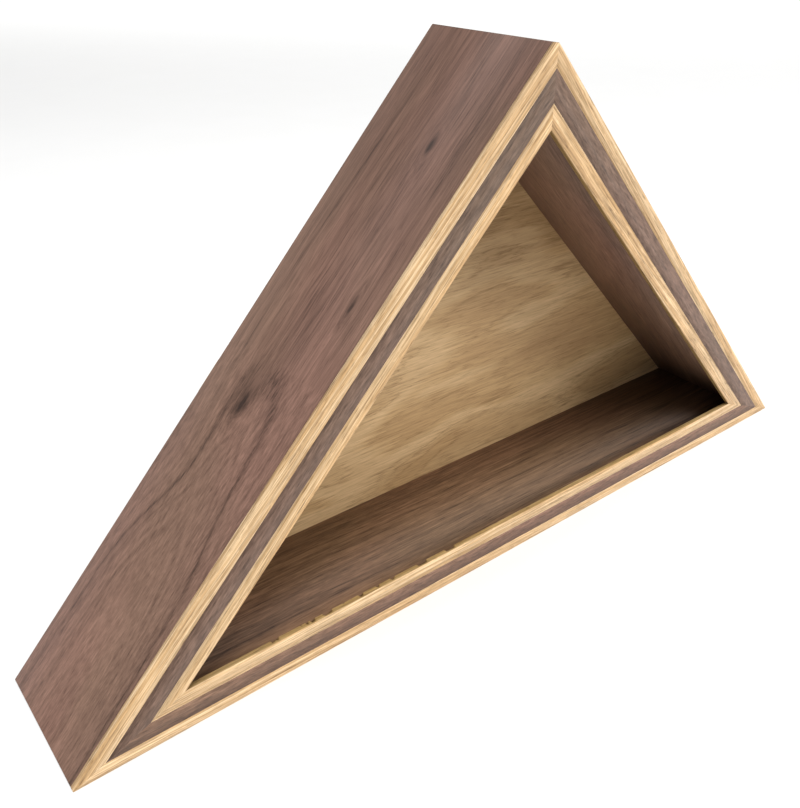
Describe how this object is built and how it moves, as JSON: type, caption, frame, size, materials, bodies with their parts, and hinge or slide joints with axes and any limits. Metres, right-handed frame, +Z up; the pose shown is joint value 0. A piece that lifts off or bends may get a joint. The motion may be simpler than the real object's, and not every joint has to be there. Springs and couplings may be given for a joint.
{
  "type": "folded flag display case",
  "caption": "Triangular walnut display case for a folded flag, with a striped oak and walnut face frame and a lift-out plywood back.",
  "frame": {"origin": "middle of the footprint, on the surface that the base stands on", "axes": "+X to the right along the base, +Y towards the back, +Z up to the apex; the open front faces -Y"},
  "size_m": [0.66, 0.1044, 0.33],
  "materials": {
    "walnut_board": "matt oiled black walnut",
    "walnut_strip": "matt oiled black walnut, long grain",
    "oak_strip": "matt oiled white oak, long grain",
    "spline_birch": "bare birch, glued in",
    "oak_plywood": "matt oak veneer on plywood",
    "button_brass": "satin brass plate",
    "screw_brass": "satin brass, slotted"
  },
  "bodies": {
    "case": {"base_board": "walnut_board", "right_board": "walnut_board", "left_board": "walnut_board", "base_outer_strip": "oak_strip", "right_outer_strip": "oak_strip", "left_outer_strip": "oak_strip", "base_middle_strip": "walnut_strip", "right_middle_strip": "walnut_strip", "left_middle_strip": "walnut_strip", "base_inner_strip": "oak_strip", "right_inner_strip": "oak_strip", "left_inner_strip": "oak_strip", "apex_spline": "spline_birch", "left_spline": "spline_birch", "right_spline": "spline_birch", "button_screws": "screw_brass"},
    "back": {"back_panel": "oak_plywood"},
    "left_base_button": {"left_base_button": "button_brass"},
    "right_base_button": {"right_base_button": "button_brass"},
    "left_leg_button": {"left_leg_button": "button_brass"},
    "right_leg_button": {"right_leg_button": "button_brass"}
  },
  "joints": [
    {"name": "back_lift_out", "type": "slide", "parent": "case", "child": "back", "axis": [0, 1, 0], "range_m": [0, 0.15]},
    {"name": "left_base_turn", "type": "hinge", "parent": "case", "child": "left_base_button", "pos_m": [-0.165, 0.0488, 0.0055], "axis": [0, 1, 0], "range_deg": [0, 90]},
    {"name": "right_base_turn", "type": "hinge", "parent": "case", "child": "right_base_button", "pos_m": [0.165, 0.0488, 0.0055], "axis": [0, -1, 0], "range_deg": [0, 90]},
    {"name": "left_leg_turn", "type": "hinge", "parent": "case", "child": "left_leg_button", "pos_m": [-0.16111, 0.0488, 0.16111], "axis": [0, -1, 0], "range_deg": [0, 90]},
    {"name": "right_leg_turn", "type": "hinge", "parent": "case", "child": "right_leg_button", "pos_m": [0.16111, 0.0488, 0.16111], "axis": [0, 1, 0], "range_deg": [0, 90]}
  ]
}
